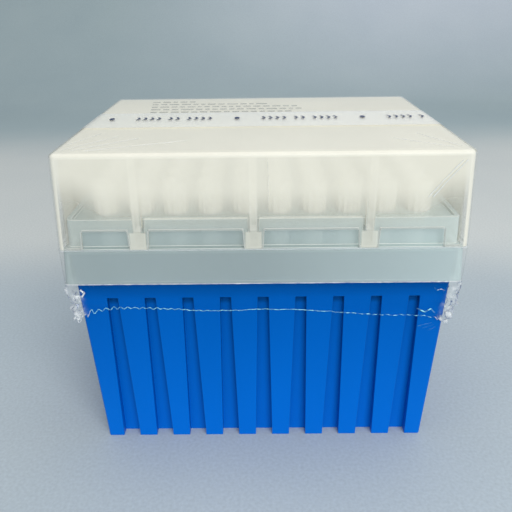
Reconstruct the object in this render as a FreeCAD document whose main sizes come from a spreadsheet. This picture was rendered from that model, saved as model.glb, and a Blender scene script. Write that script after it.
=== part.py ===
"""Box of pipette tips: a fluted base, a rack that hangs ten columns of tips, a lid, and a shrink film
with its tear tape.

The frame is in millimetres. Z is up from the table, X runs along the box, and the front faces -Y. The
driving sizes are in the sheet. Every level and half-size that follows from them is a rule written in the
sheet's names, and bind() hands it to the model as an expression.
"""

import FreeCAD, Part
import os
import re

import Sketcher
from FreeCAD import Placement, Rotation, Vector

SIZES = {
    # the box as a whole
    "BoxLength": 122.0,  # the lid's lower edge along X
    "BoxDepth": 92.4,  # the lid's lower edge along Y
    # the tips, which set the height
    "TipLength": 80.0,
    "TipStand": 9.8,  # the collar's height, all above the deck
    "TipCollar": 8.0,  # outer diameters, from the collar down
    "TipBody": 6.8,
    "TipPoint": 1.6,
    "TipMouth": 6.7,  # bore diameters, from the mouth down
    "TipOrifice": 0.7,
    "TipSides": 8,  # a tip and its hole are drawn with this many flats
    "TipDrop": 11.8,  # free height under the points
    "Columns": 10,
    "ColumnEdge": 3.5,  # from an end column's collars to the rim
    "RowEdge": 4.0,  # least, from a column's last collar to the rim
    # the lid
    "LidWall": 1.5,
    "LidSlope": 0.04,  # a side leans in by this much for each mm of height
    "LidCorner": 1.5,  # and the skirt's
    "LidTopRadius": 1.3,
    "HeadRoom": 10.2,  # over the tips
    "WindowHeight": 5.8,
    "WindowReach": 54.0,  # from the middle to the end of the last window
    "TabPitch": 34.3,
    "TabShift": -2.7,  # of the middle tab along X
    "TabWidth": 5.8,
    "TabFlare": 0.35,  # a tab is this much wider at its root, on each side
    "StopWidth": 1.8,
    "StopDepth": 3.3,  # in from the lid's wall
    "StopEnd": 5.5,  # above the ledge
    # the rack
    "RackWall": 1.5,
    "RackRise": 8.5,  # from the ledge to the rim
    "RackCorner": 2.0,
    "RimRise": 1.0,  # over the deck
    "RimWidth": 1.5,
    "SkirtHeight": 12.0,
    "SkirtSlope": 0.0625,
    "LidOverhang": 0.8,
    "LidGap": 1.5,  # between the lid's wall and the raised deck
    "StopGap": 0.8,  # round a stop in its notch
    "HoleGap": 0.15,  # round a tip in its hole
    "PlateBite": 0.3,  # the deck's plate runs this far into the wall
    # the base
    "BaseWall": 1.5,
    "BaseSlope": 0.0337,
    "BaseCorner": 0.8,
    "BaseGap": 0.15,  # between the base's rim and the skirt
    "LongFlutes": 9,
    "ShortFlutes": 7,
    "EndRib": 5.4,  # from a corner to the first flute, at the foot
    "FluteStart": 6.0,  # below the skirt
    "FootWidth": 5.85,  # a flute's width and depth at its foot
    "FootDepth": 3.2,
    "HeadWidth": 3.4,  # and at its head
    "HeadDepth": 1.9,
    # the film and its tape
    "FilmGap": 0.2,
    "FilmThick": 0.25,
    "FilmTuck": 11.0,  # below the skirt
    "TapeGap": 0.05,
    "TapeThick": 0.15,
    "TapeWidth": 24.0,
    "TapeShift": -1.5,  # of the tape's middle along Y
}

doc = FreeCAD.newDocument("TipBox")
sheet = doc.addObject("Spreadsheet::Sheet", "Sizes")
for row, (alias, value) in enumerate(SIZES.items(), start=1):
    sheet.set(f"A{row}", alias)
    sheet.set(f"B{row}", str(value))
    sheet.setAlias(f"B{row}", alias)
doc.recompute()

# Levels, from the table up.
TIP_POINT = "(BaseWall + TipDrop)"
DECK = f"({TIP_POINT} + TipLength - TipStand)"
RIM = f"({DECK} + RimRise)"
LEDGE = f"({RIM} - RackRise)"
SEAT = f"({LEDGE} - RackWall)"
SKIRT = f"({LEDGE} - SkirtHeight)"
FLUTE_HEAD = f"({SKIRT} - FluteStart)"
FILM_HEM = f"({SKIRT} - FilmTuck)"
CEILING = f"({DECK} + TipStand + HeadRoom)"
LID_TOP = f"({CEILING} + LidWall)"


# Half-sizes at a level: size is BoxLength for the short sides and BoxDepth for the long ones.
def lid_side(size, level):
    return f"({size}/2 - LidSlope*({level} - {LEDGE}))"


def skirt_side(size, level):
    return f"({size}/2 - LidOverhang + SkirtSlope*({LEDGE} - {level}))"


def deck_side(size, level):
    return f"({lid_side(size, level)} - LidWall - LidGap)"


def base_side(size, level):
    rim = f"({skirt_side(size, SEAT)} - RackWall - BaseGap)"
    return f"({rim} - BaseSlope*({SEAT} - {level}))"


# The square grid that the tips hang in.
COLUMN_SPAN = f"(2*{deck_side('BoxLength', RIM)} - 2*RimWidth - 2*ColumnEdge - TipCollar)"
ROW_SPAN = f"(2*{deck_side('BoxDepth', RIM)} - 2*RimWidth - 2*RowEdge - TipCollar)"
PITCH = f"({COLUMN_SPAN}/(Columns - 1))"
ROWS = f"(floor({ROW_SPAN}/{PITCH}) + 1)"
FIRST_COLUMN = f"(-{COLUMN_SPAN}/2)"
FIRST_ROW = f"(-{PITCH}*({ROWS} - 1)/2)"

# The walls, as quarter turns from the front.
FRONT, RIGHT, BACK, LEFT = range(4)

X, Z = Vector(1, 0, 0), Vector(0, 0, 1)
SKETCH_X, SKETCH_Y = -1, -2  # a sketch's own axes


def bind(thing, field, rule):
    """Binds a property to a rule, in which each name with a capital is a cell of the sheet."""
    thing.setExpression(field, re.sub(r"[A-Z]\w*", r"Sizes.\g<0>", rule))


def new_body(label):
    body = doc.addObject("PartDesign::Body", "Body")
    body.Label = label
    return body


def origin_feature(body, role):
    return next(item for item in body.Origin.OriginFeatures if item.Role == role)


def new_sketch(body, name, plane):
    sketch = body.newObject("Sketcher::SketchObject", name)
    sketch.AttachmentSupport = [(origin_feature(body, plane), "")]
    sketch.MapMode = "FlatFace"
    return sketch


def constrain(sketch, kind, *places, rule=None):
    """Adds a constraint, whose size follows a rule if one is given."""
    number = sketch.addConstraint(Sketcher.Constraint(kind, *places))
    if rule:
        bind(sketch, f"Constraints[{number}]", rule)


def wedge(body, kind, name, low, high, along, out, wall=FRONT):
    """A tapered block on one wall: along and out hold its limits at the foot, then at the head."""
    block = body.newObject(f"PartDesign::{kind}Wedge", name)
    block.Placement = Placement(Vector(), Rotation(Z, 90 * wall) * Rotation(X, 90))
    limits = {"Y": (low, high), "X": along[0], "X2": along[1], "Z": out[0], "Z2": out[1]}
    for field, (least, most) in limits.items():
        bind(block, f"{field}min", least)
        bind(block, f"{field}max", most)
    return block


def prism(body, kind, name, radius, low, high):
    """A prism on the upright axis with a tip's number of sides, its corners at the radius."""
    block = body.newObject(f"PartDesign::{kind}Prism", name)
    bind(block, "Polygon", "TipSides")
    bind(block, "Circumradius", radius)
    bind(block, "Height", f"{high} - {low}")
    bind(block, "Placement.Base.z", low)
    return block


def tapered(body, name, spread, height, inside):
    """Drafts those flats of the last prism that stand at the foot, so that it spreads over its height."""
    base = body.Tip
    doc.recompute()
    flats = [
        f"Face{i}" for i, face in enumerate(base.Shape.Faces, start=1)
        if face.BoundBox.ZMin < 0.01 and abs(face.normalAt(0, 0).z) < 0.01
    ]
    draft = body.newObject("PartDesign::Draft", name)
    draft.Base = (base, flats)
    draft.NeutralPlane = (origin_feature(body, "XY_Plane"), [""])
    draft.Reversed = not inside
    bind(draft, "Angle", f"atan(cos(180/TipSides)*{spread}/{height})")
    return draft


def frustum(body, kind, name, side, low, high, inset="0"):
    """A tapered block about the middle, whose half-sizes come from one of the side rules."""
    spans = []
    for size in ("BoxLength", "BoxDepth"):
        for level in (low, high):
            half = f"({side(size, level)} - {inset})"
            spans.append((f"-{half}", half))
    return wedge(body, kind, name, low, high, spans[:2], spans[2:])


def rounded(body, name, radius, chosen):
    """Fillets those edges of the body so far that the test chooses."""
    base = body.Tip
    doc.recompute()
    edges = [f"Edge{i}" for i, edge in enumerate(base.Shape.Edges, start=1) if chosen(edge)]
    fillet = body.newObject("PartDesign::Fillet", name)
    fillet.Base = (base, edges)
    bind(fillet, "Radius", radius)
    return fillet


def shelled(body, name, wall, open_at_top):
    """Hollows the body so far, open at its highest or lowest face."""
    base = body.Tip
    doc.recompute()
    heights = [face.CenterOfMass.z for face in base.Shape.Faces]
    mouth = max(heights) if open_at_top else min(heights)
    shell = body.newObject("PartDesign::Thickness", name)
    shell.Base = (base, [f"Face{heights.index(mouth) + 1}"])
    shell.Join = "Intersection"
    shell.Reversed = True
    bind(shell, "Value", wall)
    return shell


def repeated(body, feature, name, axis, count, pitch, backward=False):
    """Repeats one feature along an axis of the body."""
    pattern = body.newObject("PartDesign::LinearPattern", name)
    pattern.Originals = [feature]
    pattern.Direction = (origin_feature(body, axis), [""])
    pattern.Mode = "Spacing"
    pattern.Reversed = backward
    bind(pattern, "Occurrences", count)
    bind(pattern, "Offset", pitch)
    body.Tip = pattern
    return pattern


def is_upright(edge):
    box = edge.BoundBox
    return box.ZLength > max(box.XLength, box.YLength)


def is_over(edge, level):
    """True if neither end is under the level."""
    return min(vertex.Z for vertex in edge.Vertexes) > level - 0.01


def reach_of(edge):
    """How far out from the middle an edge gets along X."""
    return max(abs(vertex.X) for vertex in edge.Vertexes)


def top_of(body):
    doc.recompute()
    return max(vertex.Z for vertex in body.Tip.Shape.Vertexes)


def centred(middle, *halves):
    """Limits about a middle, one pair for each half-width."""
    return [(f"({middle} - {half})", f"({middle} + {half})") for half in halves]


def make_base():
    """A tapered tub whose four walls are folded into flutes."""
    body = new_body("base")
    frustum(body, "Additive", "tub", base_side, "0", SEAT)
    shelled(body, "hollow", "BaseWall", open_at_top=True)
    rounded(body, "corners", "BaseCorner", is_upright)
    for wall, title in enumerate(("front", "right", "back", "left")):
        if wall in (FRONT, BACK):
            length, depth, count, axis = "BoxLength", "BoxDepth", "LongFlutes", "X_Axis"
        else:
            length, depth, count, axis = "BoxDepth", "BoxLength", "ShortFlutes", "Y_Axis"
        pitch = f"((2*{base_side(length, '0')} - 2*EndRib - FootWidth)/({count} - 1))"
        first = f"(-{pitch}*({count} - 1)/2)"
        foot, head = base_side(depth, "0"), base_side(depth, FLUTE_HEAD)
        backward = wall in (BACK, LEFT)
        fold = wedge(
            body, "Additive", f"{title}_fold", "0", f"({FLUTE_HEAD} + BaseWall)",
            centred(first, "(FootWidth/2 + BaseWall)", "(HeadWidth/2 + BaseWall)"),
            [(f"{foot} - FootDepth - BaseWall", f"{foot} - BaseWall/2"),
             (f"{head} - HeadDepth - BaseWall", f"{head} - BaseWall/2")],
            wall,
        )
        repeated(body, fold, f"{title}_folds", axis, count, pitch, backward)
        flute = wedge(
            body, "Subtractive", f"{title}_flute", "0", FLUTE_HEAD,
            centred(first, "FootWidth/2", "HeadWidth/2"),
            [(f"{foot} - FootDepth", f"{foot} + BaseWall"), (f"{head} - HeadDepth", f"{head} + BaseWall")],
            wall,
        )
        repeated(body, flute, f"{title}_flutes", axis, count, pitch, backward)
    return body


def make_rack():
    """The skirt over the base's rim, the ledge that the lid stands on, and the raised deck with its holes."""
    body = new_body("rack")
    frustum(body, "Additive", "skirt", skirt_side, SKIRT, LEDGE)
    frustum(body, "Additive", "rise", deck_side, SEAT, RIM)
    shelled(body, "hollow", "RackWall", open_at_top=False)
    mid_wall = SIZES["BoxLength"] / 2 - SIZES["LidOverhang"] - SIZES["RackWall"] / 2
    rounded(body, "skirt_corners", "LidCorner", lambda edge: is_upright(edge) and reach_of(edge) > mid_wall)
    seat = top_of(body) - SIZES["RackRise"] - SIZES["RackWall"]
    rounded(body, "rise_corners", "RackCorner", lambda edge: is_upright(edge) and is_over(edge, seat))

    frustum(body, "Additive", "plate", deck_side, f"({DECK} - RackWall)", DECK, "(RackWall - PlateBite)")
    frustum(body, "Subtractive", "recess", deck_side, DECK, RIM, "RimWidth")

    levels = (LEDGE, RIM)
    reaches = [f"({lid_side('BoxDepth', level)} - LidWall - StopDepth - StopGap)" for level in levels]
    walls = [deck_side("BoxDepth", level) for level in levels]
    halves = ("(StopWidth/2 + StopGap/2)", "(StopWidth/2 + StopGap)")
    first = "(TabShift - TabPitch)"
    back = wedge(
        body, "Additive", "notch_back", SEAT, DECK,
        centred(first, *[f"({half} + RackWall)" for half in halves]),
        [(f"{reach} - RackWall", f"{side} - RackWall/2") for reach, side in zip(reaches, walls)],
    )
    repeated(body, back, "notch_backs", "X_Axis", "3", "TabPitch")
    notch = wedge(
        body, "Subtractive", "notch", *levels, centred(first, *halves),
        [(reach, f"{side} + RackWall") for reach, side in zip(reaches, walls)],
    )
    repeated(body, notch, "notches", "X_Axis", "3", "TabPitch")

    hole = prism(body, "Subtractive", "hole", "(TipBody/2 + HoleGap)", f"({DECK} - 2*RackWall)", RIM)
    bind(hole, "Placement.Base.x", FIRST_COLUMN)
    bind(hole, "Placement.Base.y", FIRST_ROW)
    holes = repeated(body, hole, "holes", "X_Axis", "Columns", PITCH)
    holes.Direction2 = (origin_feature(body, "Y_Axis"), [""])
    holes.Mode2 = "Extent"
    bind(holes, "Occurrences2", ROWS)
    bind(holes, "Length2", f"{PITCH}*({ROWS} - 1)")
    return body


def make_lid():
    """A drafted cover with windows along its front edge, and a stop inside each tab between them."""
    body = new_body("lid")
    frustum(body, "Additive", "cover", lid_side, LEDGE, LID_TOP)
    shelled(body, "hollow", "LidWall", open_at_top=False)
    rounded(body, "corners", "LidCorner", is_upright)
    top = top_of(body)
    rounded(body, "top_edge", "LidTopRadius", lambda edge: is_over(edge, top))

    tabs = [f"(TabShift + {place}*TabPitch)" for place in (-1, 0, 1)]
    starts = ["(-WindowReach)"] + [f"({tab} + TabWidth/2)" for tab in tabs]
    ends = [f"({tab} - TabWidth/2)" for tab in tabs] + ["WindowReach"]
    levels = (LEDGE, f"({LEDGE} + WindowHeight)")
    walls = [lid_side("BoxDepth", level) for level in levels]
    for number, (start, end) in enumerate(zip(starts, ends), start=1):
        wedge(
            body, "Subtractive", f"window_{number}", *levels,
            [(start, end), (f"{start} + TabFlare", f"{end} - TabFlare")],
            [(f"{side} - 2*LidWall", f"{side} + LidWall") for side in walls],
        )

    levels = (f"({LEDGE} + StopEnd)", f"({CEILING} + LidWall/2)")
    walls = [lid_side("BoxDepth", level) for level in levels]
    stop = wedge(
        body, "Additive", "stop", *levels, centred(tabs[0], "StopWidth/2", "StopWidth/2"),
        [(f"{side} - LidWall - StopDepth", f"{side} - LidWall/2") for side in walls],
    )
    repeated(body, stop, "stops", "X_Axis", "3", "TabPitch")
    return body


def make_tip_column(number):
    """One column of tips along Y, each hung in the deck by its collar."""
    body = new_body(f"tip_column_{number + 1:02d}")
    body.AllowCompound = True
    prism(body, "Additive", "shank", "TipPoint/2", "0", "(TipLength - TipStand)")
    tapered(body, "shank_taper", "(TipBody - TipPoint)/2", "(TipLength - TipStand)", inside=False)
    prism(body, "Additive", "collar", "TipCollar/2", "(TipLength - TipStand)", "TipLength")
    prism(body, "Subtractive", "bore", "TipOrifice/2", "0", "TipLength")
    tapered(body, "bore_taper", "(TipMouth - TipOrifice)/2", "TipLength", inside=True)
    tips = repeated(body, body.Tip, "tips", "Y_Axis", ROWS, PITCH)
    tips.TransformMode = "Whole shape"
    bind(body, "Placement.Base.x", f"{FIRST_COLUMN} + {number}*{PITCH}")
    bind(body, "Placement.Base.y", FIRST_ROW)
    bind(body, "Placement.Base.z", TIP_POINT)
    return body


def wrap_outline(body, name, level, half_length, half_depth, flat):
    """A rectangle about the middle with its corners cut off, at one level of a wrap."""
    sketch = new_sketch(body, name, "XY_Plane")
    bind(sketch, "AttachmentOffset.Base.z", level)
    along, across, cut = SIZES["BoxLength"] / 2, SIZES["BoxDepth"] / 2, SIZES["LidCorner"]
    right = [(along - cut, -across), (along, cut - across), (along, across - cut), (along - cut, across)]
    corners = [Vector(x, y) for x, y in right] + [Vector(-x, y) for x, y in reversed(right)]
    count = len(corners)
    for number in range(count):
        sketch.addGeometry(Part.LineSegment(corners[number - 1], corners[number]))
    for number in range(count):
        constrain(sketch, "Coincident", number, 2, (number + 1) % count, 1)
    for number in range(count // 2):
        constrain(sketch, "Symmetric", number, 2, count - 1 - number, 2, SKETCH_Y)
    for lower, upper in ((0, 3), (1, 2)):
        constrain(sketch, "Symmetric", lower, 2, upper, 2, SKETCH_X)
    constrain(sketch, "DistanceX", -1, 1, 1, 2, along, rule=half_length)
    constrain(sketch, "DistanceX", -1, 1, 3, 2, along - cut, rule=f"{half_length} - {flat}")
    constrain(sketch, "DistanceY", -1, 1, 3, 2, across, rule=half_depth)
    constrain(sketch, "DistanceY", -1, 1, 2, 2, across - cut, rule=f"{half_depth} - {flat}")
    return sketch


def wrap_form(label, gap):
    """The solid inside a skin that clears the lid and the skirt by gap, and is drawn in to the base."""
    body = new_body(label)
    top = f"({LID_TOP} + {gap})"
    # Flats that touch the round edges at their middles.
    corner = f"((2 - sqrt(2))*(LidCorner + {gap}))"
    foot_corner = f"((2 - sqrt(2))*(BaseCorner + {gap}))"
    bevel = f"((2 - sqrt(2))*(LidTopRadius + {gap}))"
    stages = [
        (FILM_HEM, base_side, gap, foot_corner),
        (SKIRT, skirt_side, gap, corner),
        (LEDGE, lid_side, gap, corner),
        (f"({top} - {bevel})", lid_side, gap, corner),
        (top, lid_side, f"({gap} - {bevel})", f"({corner} - {bevel}/3)"),
    ]
    outlines = []
    for number, (level, side, proud, flat) in enumerate(stages):
        halves = [f"({side(size, level)} + {proud})" for size in ("BoxLength", "BoxDepth")]
        outlines.append(wrap_outline(body, f"stage_{number}", level, *halves, flat))
    loft = body.newObject("PartDesign::AdditiveLoft", "form")
    loft.Profile = outlines[0]
    loft.Sections = outlines[1:]
    loft.Ruled = True
    return body


def make_skin(label, gap, thickness):
    """A skin of one thickness, open below."""
    skin = doc.addObject("Part::Cut", "Skin")
    skin.Label = label
    skin.Base = wrap_form(f"{label} outside", f"({gap} + {thickness})")
    skin.Tool = wrap_form(f"{label} inside", gap)
    return skin


def make_tape():
    """The tear tape: a band of the film's own form, over the top and down both ends."""
    slab = doc.addObject("Part::Box", "Slab")
    rules = {
        "Length": "2*BoxLength",
        "Width": "TapeWidth",
        "Height": f"2*{LID_TOP}",
        "Placement.Base.x": "-BoxLength",
        "Placement.Base.y": "TapeShift - TapeWidth/2",
    }
    for field, rule in rules.items():
        bind(slab, field, rule)
    tape = doc.addObject("Part::Common", "Tape")
    tape.Label = "tear_tape"
    tape.Base = make_skin("tape skin", "(FilmGap + FilmThick + TapeGap)", "TapeThick")
    tape.Tool = slab
    return tape


def faults(sub_parts):
    """What is wrong in the document, in words."""
    bad_states = {"Invalid", "Error"}
    found = [f"{item.Label} has failed" for item in doc.Objects if bad_states & set(item.State)]
    found += [
        f"{item.Label} has no valid shape"
        for item in sub_parts
        if item.Shape.isNull() or not item.Shape.isValid()
    ]
    return found


sub_parts = [make_base(), make_rack(), make_lid()]
sub_parts += [make_tip_column(number) for number in range(SIZES["Columns"])]
sub_parts += [make_skin("shrink_film", "FilmGap", "FilmThick"), make_tape()]
doc.recompute()

wrong = faults(sub_parts)
if wrong:
    raise RuntimeError("; ".join(wrong))
os.makedirs("parts", exist_ok=True)
for item in sub_parts:
    item.Shape.exportStep(f"parts/{item.Label}.step")
    print(item.Label, len(item.Shape.Solids), "solid(s),", round(item.Shape.Volume, 1), "mm3")
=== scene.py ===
"""Box of pipette tips: a blue fluted base, a clear rack of tips and a frosted lid, sealed in shrink film."""

import math

import bmesh
import bpy
from bpy.props import FloatProperty, FloatVectorProperty, IntProperty, PointerProperty
from mathutils import Euler, Matrix, Vector, noise


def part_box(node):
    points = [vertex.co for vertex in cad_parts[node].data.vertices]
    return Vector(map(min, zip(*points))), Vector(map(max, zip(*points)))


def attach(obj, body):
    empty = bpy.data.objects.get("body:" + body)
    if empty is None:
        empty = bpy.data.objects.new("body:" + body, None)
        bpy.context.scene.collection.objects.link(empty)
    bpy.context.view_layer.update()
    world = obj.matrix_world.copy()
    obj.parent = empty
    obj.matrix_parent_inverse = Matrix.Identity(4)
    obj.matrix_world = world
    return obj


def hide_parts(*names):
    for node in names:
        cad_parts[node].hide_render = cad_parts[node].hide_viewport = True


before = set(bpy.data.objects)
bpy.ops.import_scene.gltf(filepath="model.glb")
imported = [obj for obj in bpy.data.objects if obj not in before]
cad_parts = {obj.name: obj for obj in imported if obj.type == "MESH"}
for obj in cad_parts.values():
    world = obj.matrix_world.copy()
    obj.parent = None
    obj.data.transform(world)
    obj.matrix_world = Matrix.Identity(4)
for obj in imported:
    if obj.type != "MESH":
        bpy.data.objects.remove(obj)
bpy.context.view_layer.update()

bl_info = {
    "name": "Pipette Tip Box",
    "version": (1, 0, 0),
    "blender": (4, 5, 0),
    "location": "3D View > Sidebar > Tip Box",
    "description": "Builds a sealed box of pipette tips around its packed frame",
    "category": "Add Mesh",
}

MM = 0.001
TINY = 0.01 * MM
BODY = "root"
TIP_COLUMNS = sorted(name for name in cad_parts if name.startswith("tip_column_"))


# ---- what the frame says

def reach(node, level):
    """The half-length and half-depth of a node's outside at one level."""
    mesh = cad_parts[node].data
    farthest = Vector((0, 0))
    for edge in mesh.edges:
        low, high = sorted((mesh.vertices[i].co for i in edge.vertices), key=lambda co: co.z)
        if low.z <= level <= high.z:
            share = (level - low.z) / (high.z - low.z) if high.z > low.z else 0.0
            place = low.lerp(high, share)
            farthest = Vector((max(farthest.x, abs(place.x)), max(farthest.y, abs(place.y))))
    return farthest


def corner_radius(node, level):
    """The radius of a node's upright corners, from where its front face ends at one level."""
    half = reach(node, level)
    front = [
        abs(vertex.co.x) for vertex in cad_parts[node].data.vertices
        if abs(vertex.co.z - level) < TINY and abs(vertex.co.y) > half.y - TINY]
    return half.x - max(front)


LID_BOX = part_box("lid")
LID_TOP = LID_BOX[1].z
LEDGE = LID_BOX[0].z
RACK_FOOT, RIM = (corner.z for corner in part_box("rack"))
SKIRT_LIFT = 0.6 * MM
SKIRT = RACK_FOOT + SKIRT_LIFT
POINTS, MOUTHS = (corner.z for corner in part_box("tip_column_01"))
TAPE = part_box("tear_tape")
TAPE_MIDDLE = (TAPE[0].y + TAPE[1].y) / 2

# The lid's and the skirt's lean, read between two levels that are clear of rounded edges.
BELOW_EDGE = 5 * MM
LID_LEAN = (reach("lid", LEDGE + MM) - reach("lid", LID_TOP - BELOW_EDGE)).x / (
    LID_TOP - LEDGE - BELOW_EDGE - MM)
SKIRT_LEAN = (reach("rack", SKIRT + MM) - reach("rack", LEDGE - MM)).x / (LEDGE - SKIRT - 2 * MM)
CORNER = corner_radius("lid", LEDGE)
TOP_EDGE = (reach("lid", LID_TOP - BELOW_EDGE) - reach("lid", LID_TOP)).x - BELOW_EDGE * LID_LEAN

# The base's outside where the film is drawn in on it, and the heads of its flutes.
BASE_STRETCH = 20 * MM
BASE_HEAD = reach("base", SKIRT)
BASE_LEAN = (BASE_HEAD - reach("base", SKIRT - BASE_STRETCH)) / BASE_STRETCH
FLUTE_HEAD = RACK_FOOT - 6 * MM


def reach_base(level):
    """The base's half-size near the film's hem."""
    return BASE_HEAD - BASE_LEAN * (SKIRT - level)


def stop_places():
    """The middle along X of each of the lid's front stops, and the height of their feet."""
    feet = {}
    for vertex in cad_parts["lid"].data.vertices:
        place = vertex.co
        inside = place.y > 2 * MM - reach("lid", place.z).y
        if place.y < 0 and inside and LEDGE + MM < place.z < MOUTHS and abs(place.x) < STOPS_END:
            feet[round(place.x, 4)] = place.z
    sides = sorted(feet)
    return [(left + right) / 2 for left, right in zip(sides[::2], sides[1::2])], min(feet.values())


STOPS_END = LID_BOX[1].x / 1.5
STOPS, STOP_FOOT = stop_places()
STOP_PITCH = STOPS[1] - STOPS[0]


# ---- sizes and colours

def length_field(name, description, default):
    """A size that a user may change."""
    return FloatProperty(
        name=name, description=description, default=default, min=0.0, subtype="DISTANCE", unit="LENGTH")


def share_field(name, description, default):
    """A part of one that a user may change."""
    return FloatProperty(
        name=name, description=description, default=default, min=0.0, max=1.0, subtype="FACTOR")


def colour_field(name, description, default):
    """A colour that a user may change."""
    return FloatVectorProperty(
        name=name, description=description, default=default, size=3, min=0.0, max=1.0, subtype="COLOR")


def angle_field(name, description, degrees):
    """An angle that a user may change."""
    return FloatProperty(
        name=name, description=description, default=math.radians(degrees), subtype="ANGLE",
        unit="ROTATION")


class TipBoxMouldings(bpy.types.PropertyGroup):
    """The base, the rack and the lid"""

    edge: length_field("Edge", "Radius worn on each moulded edge", 0.2 * MM)
    base_colour: colour_field("Base", "Colour of the base's plastic", (0.0, 0.17, 0.74))
    rack_colour: colour_field("Rack", "Colour of the rack's clear plastic", (0.46, 0.545, 0.53))
    lid_colour: colour_field("Lid", "Colour of the lid's frosted plastic", (0.84, 0.81, 0.69))
    wall: length_field("Wall", "Thickness of the lid's and the rack's walls", 1.5 * MM)
    lid_cover: share_field("Lid cover", "Share of what is behind it that one face of the lid hides", 0.82)
    foot_cover: share_field("Foot cover", "The same share at the lid's foot, where its frost thins out", 0.1)
    rack_cover: share_field("Rack cover", "Share of what is behind it that one face of the rack hides", 0.8)
    far_cover: share_field("Far cover", "Share that a wall's inner face adds", 0.12)
    shade: share_field("Shade", "Share of its cover with which milky plastic stops light", 0.3)


class TipBoxTips(bpy.types.PropertyGroup):
    """The tips"""

    collar: length_field("Collar", "Height of a tip's collar over the deck", 9.8 * MM)
    body: length_field("Body", "Diameter of a tip under its collar", 6.7 * MM)
    point: length_field("Point", "Diameter of a tip at its point", 1.4 * MM)
    wall: length_field("Wall", "Thickness of a tip's wall", 0.45 * MM)
    ribs: IntProperty(name="Ribs", description="Ribs round a collar", default=12, min=4)
    colour: colour_field("Colour", "Colour of the tips' plastic", (0.82, 0.82, 0.74))


class TipBoxFilm(bpy.types.PropertyGroup):
    """The shrink film and the tear tape"""

    gap: length_field("Gap", "Between the film and what it wraps", 0.3 * MM)
    hem: length_field("Hem", "Height of the film's melted hem", 54.4 * MM)
    bead: length_field("Bead", "Radius of the melted hem", 0.12 * MM)
    crumple: length_field("Crumple", "Depth of the crumples at the corners", 1.7 * MM)
    tape_width: length_field("Tape width", "Width of the tear tape", TAPE[1].y - TAPE[0].y)
    print_colour: colour_field("Print", "Ink of the marks on the tear tape", (0.01, 0.02, 0.11))


class TipBoxStage(bpy.types.PropertyGroup):
    """The paper, the light and the camera"""

    floor_colour: colour_field("Floor", "Colour of the paper under the box", (0.50, 0.555, 0.575))
    # A painted pool of light: the paper just behind the box made paler where light falls.
    painted_pool_colour: colour_field("Pool", "Colour of the paper just behind the box", (0.70, 0.71, 0.67))
    back_colour: colour_field("Back", "Colour of the paper far behind the box", (0.47, 0.55, 0.55))
    light: FloatProperty(
        name="Light", description="Power of the softbox in front of the box",
        default=7.2, min=0.0, unit="POWER")
    pitch: angle_field("Pitch", "Tilt of the camera below the horizon", 25.07)
    yaw: angle_field("Yaw", "Turn of the camera from straight ahead", 0.48)
    roll: angle_field("Roll", "Roll of the camera", 0.75)
    eye: FloatVectorProperty(
        name="Eye", description="Place of the camera",
        default=(-0.78 * MM, -198.3 * MM, 144.9 * MM), size=3, subtype="XYZ", unit="LENGTH")
    lens: FloatProperty(name="Lens", description="Focal length in millimetres", default=39.4, min=1.0)


# ---- shader groups

def new_group(name, inputs, outputs):
    """An empty shader group with float sockets: inputs maps names to defaults, and outputs lists names."""
    group = bpy.data.node_groups.new(name, "ShaderNodeTree")
    for title, default in inputs.items():
        socket = group.interface.new_socket(title, in_out="INPUT", socket_type="NodeSocketFloat")
        socket.default_value = default
    for title in outputs:
        group.interface.new_socket(title, in_out="OUTPUT", socket_type="NodeSocketFloat")
    return group, group.nodes.new("NodeGroupInput").outputs, group.nodes.new("NodeGroupOutput").inputs


def add_node(tree, kind, links=(), **settings):
    """Adds a node: settings are its properties, and links maps sockets to values or to other sockets."""
    node = tree.nodes.new(kind)
    for field, value in settings.items():
        setattr(node, field, value)
    for key, value in dict(links).items():
        if isinstance(value, bpy.types.NodeSocket):
            tree.links.new(value, node.inputs[key])
        else:
            node.inputs[key].default_value = value
    return node


def maths(tree, operation, *values):
    """The result of one math node."""
    return add_node(tree, "ShaderNodeMath", dict(enumerate(values)), operation=operation).outputs[0]


def ramp(tree, value, start, end, low=0.0, high=1.0, **settings):
    """Goes from low to high while the value goes from start to end, and holds beyond them."""
    given = dict(enumerate((value, start, end, low, high)))
    return add_node(tree, "ShaderNodeMapRange", given, clamp=True, **settings).outputs[0]


def spread(tree, value, low, high):
    """Maps a 0 to 1 value to a range."""
    return ramp(tree, value, 0.0, 1.0, low, high)


def passes(tree, value, mark):
    """0 to 1 over half a millimetre, where a distance passes a mark."""
    return ramp(tree, maths(tree, "SUBTRACT", value, mark), -0.25 * MM, 0.25 * MM)


def blend(tree, share, first, second):
    """Goes from the first value to the second with the share."""
    return add_node(tree, "ShaderNodeMix", {0: share, 2: first, 3: second}, data_type="FLOAT").outputs[0]


def blend_colours(tree, share, first, second, **settings):
    """Goes from the first colour to the second with the share, or mixes them as the settings say."""
    first, second = (
        colour if isinstance(colour, bpy.types.NodeSocket) else (*colour, 1.0) for colour in (first, second))
    mix = add_node(tree, "ShaderNodeMix", {0: share, 6: first, 7: second}, data_type="RGBA", **settings)
    return mix.outputs[2]


def scaled(tree, colour, level):
    """A colour made lighter or darker."""
    return add_node(tree, "ShaderNodeVectorMath", {0: colour, 3: level}, operation="SCALE").outputs[0]


def object_axes(tree):
    """X, Y and Z in the object's own space."""
    place = tree.nodes.new("ShaderNodeTexCoord").outputs["Object"]
    return add_node(tree, "ShaderNodeSeparateXYZ", {0: place}).outputs


def scaled_noise(tree, scale, detail=3.0, roughness=0.5, stretch=(1, 1, 1)):
    """Fractal noise over the object's own space, with scale in features per metre."""
    place = tree.nodes.new("ShaderNodeTexCoord").outputs["Object"]
    stretched = add_node(tree, "ShaderNodeMapping", {"Vector": place, "Scale": stretch}).outputs[0]
    return add_node(
        tree, "ShaderNodeTexNoise",
        {"Vector": stretched, "Scale": scale, "Detail": detail, "Roughness": roughness}).outputs["Fac"]


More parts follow.
